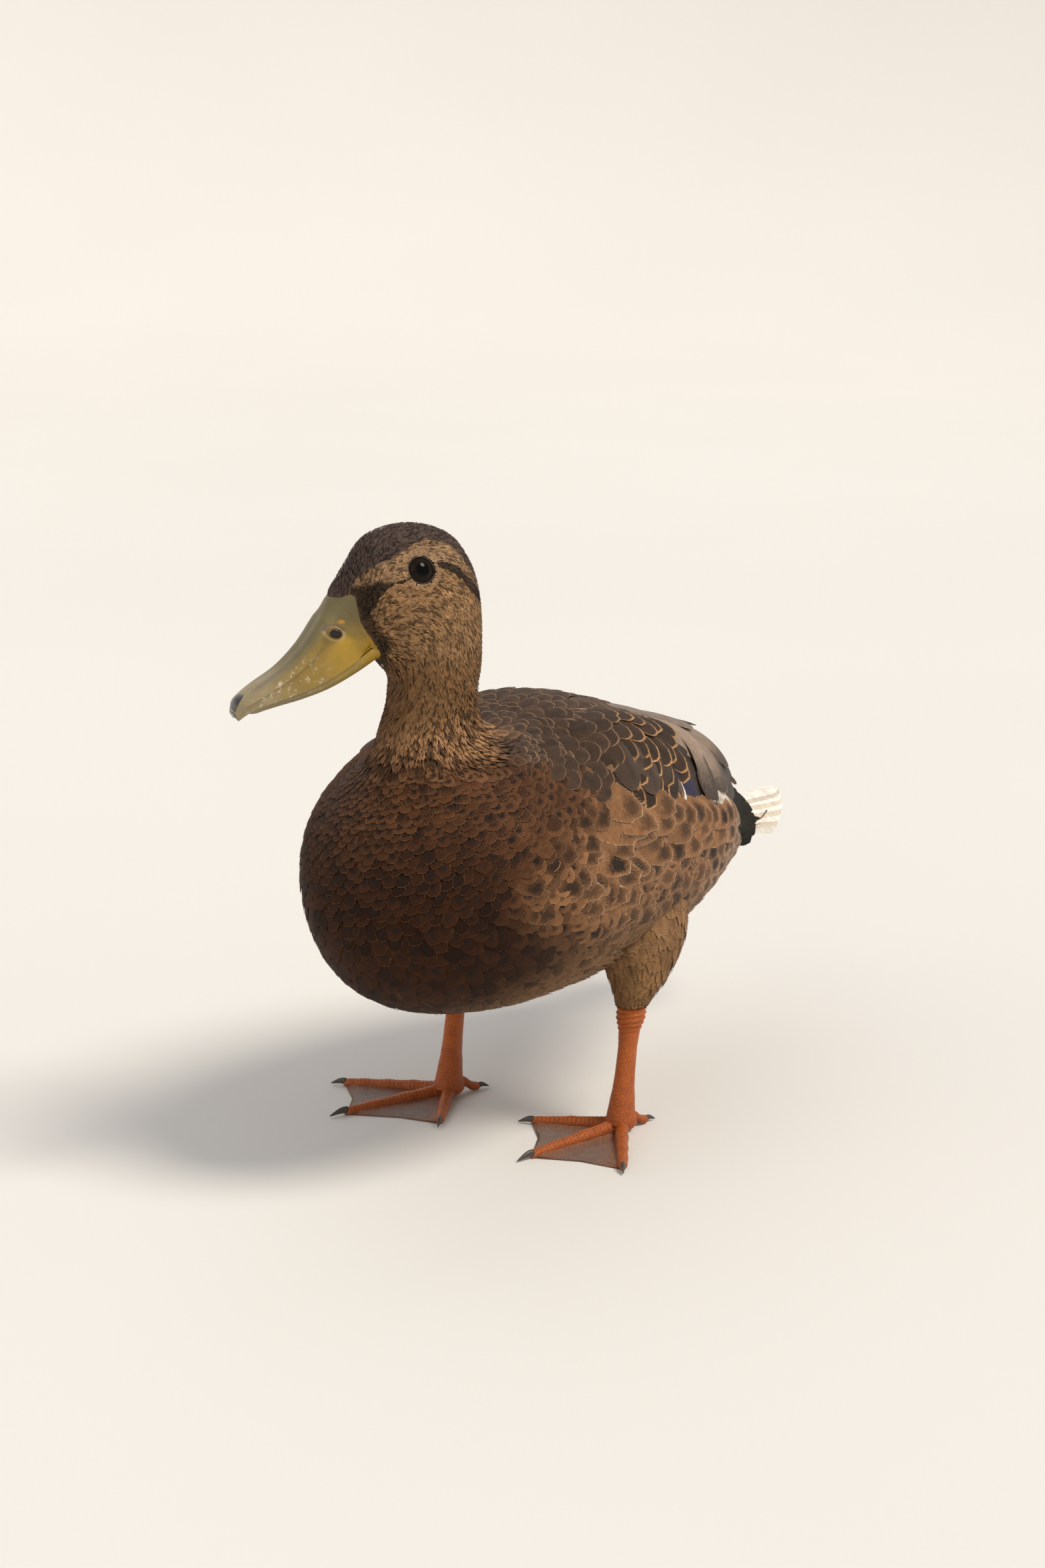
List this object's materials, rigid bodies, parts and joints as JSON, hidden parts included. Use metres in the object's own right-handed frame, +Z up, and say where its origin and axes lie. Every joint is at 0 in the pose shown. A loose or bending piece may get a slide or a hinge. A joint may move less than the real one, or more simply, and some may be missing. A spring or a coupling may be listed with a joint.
{
  "type": "mallard duck",
  "caption": "Life-size still model of a drake mallard in eclipse plumage, standing on webbed feet with its head turned to its right.",
  "frame": {"origin": "on the floor under the middle of the whole duck's box", "axes": "+Z up from the floor, -Y the way the body faces, +X the duck's own left"},
  "size_m": [0.1692, 0.3666, 0.2662],
  "materials": {
    "head_plumage": "fine buff and dark brown streaked feathers, matte",
    "neck_plumage": "fine grey-brown streaked feathers, matte",
    "body_plumage": "rusty brown feathers with dark centres and pale fringes, matte",
    "wing_plumage": "blackish brown feathers with buff edges, faint sheen",
    "tail_plumage": "whitish feathers with brown smudges, black coverts, matte",
    "bill": "olive yellow horn, satin, finely mottled",
    "bill_nail": "blackish horn, satin",
    "eye": "wet, very dark brown",
    "leg_skin": "orange scaled skin with grey-brown webs, satin",
    "claw": "dark grey horn, satin"
  },
  "bodies": {
    "root": {"bill_lower": "bill", "bill_nail": "bill_nail", "bill_upper": "bill", "claw_hallux_left": "claw", "claw_hallux_right": "claw", "claw_inner_left": "claw", "claw_inner_right": "claw", "claw_middle_left": "claw", "claw_middle_right": "claw", "claw_outer_left": "claw", "claw_outer_right": "claw", "eye_left": "eye", "eye_right": "eye", "foot_left": "leg_skin", "foot_right": "leg_skin", "head": "head_plumage", "neck": "neck_plumage", "shank_left": "leg_skin", "shank_right": "leg_skin", "tail": "tail_plumage", "thigh_left": "body_plumage", "thigh_right": "body_plumage", "trunk": "body_plumage", "wing_left": "wing_plumage", "wing_right": "wing_plumage"}
  },
  "joints": []
}
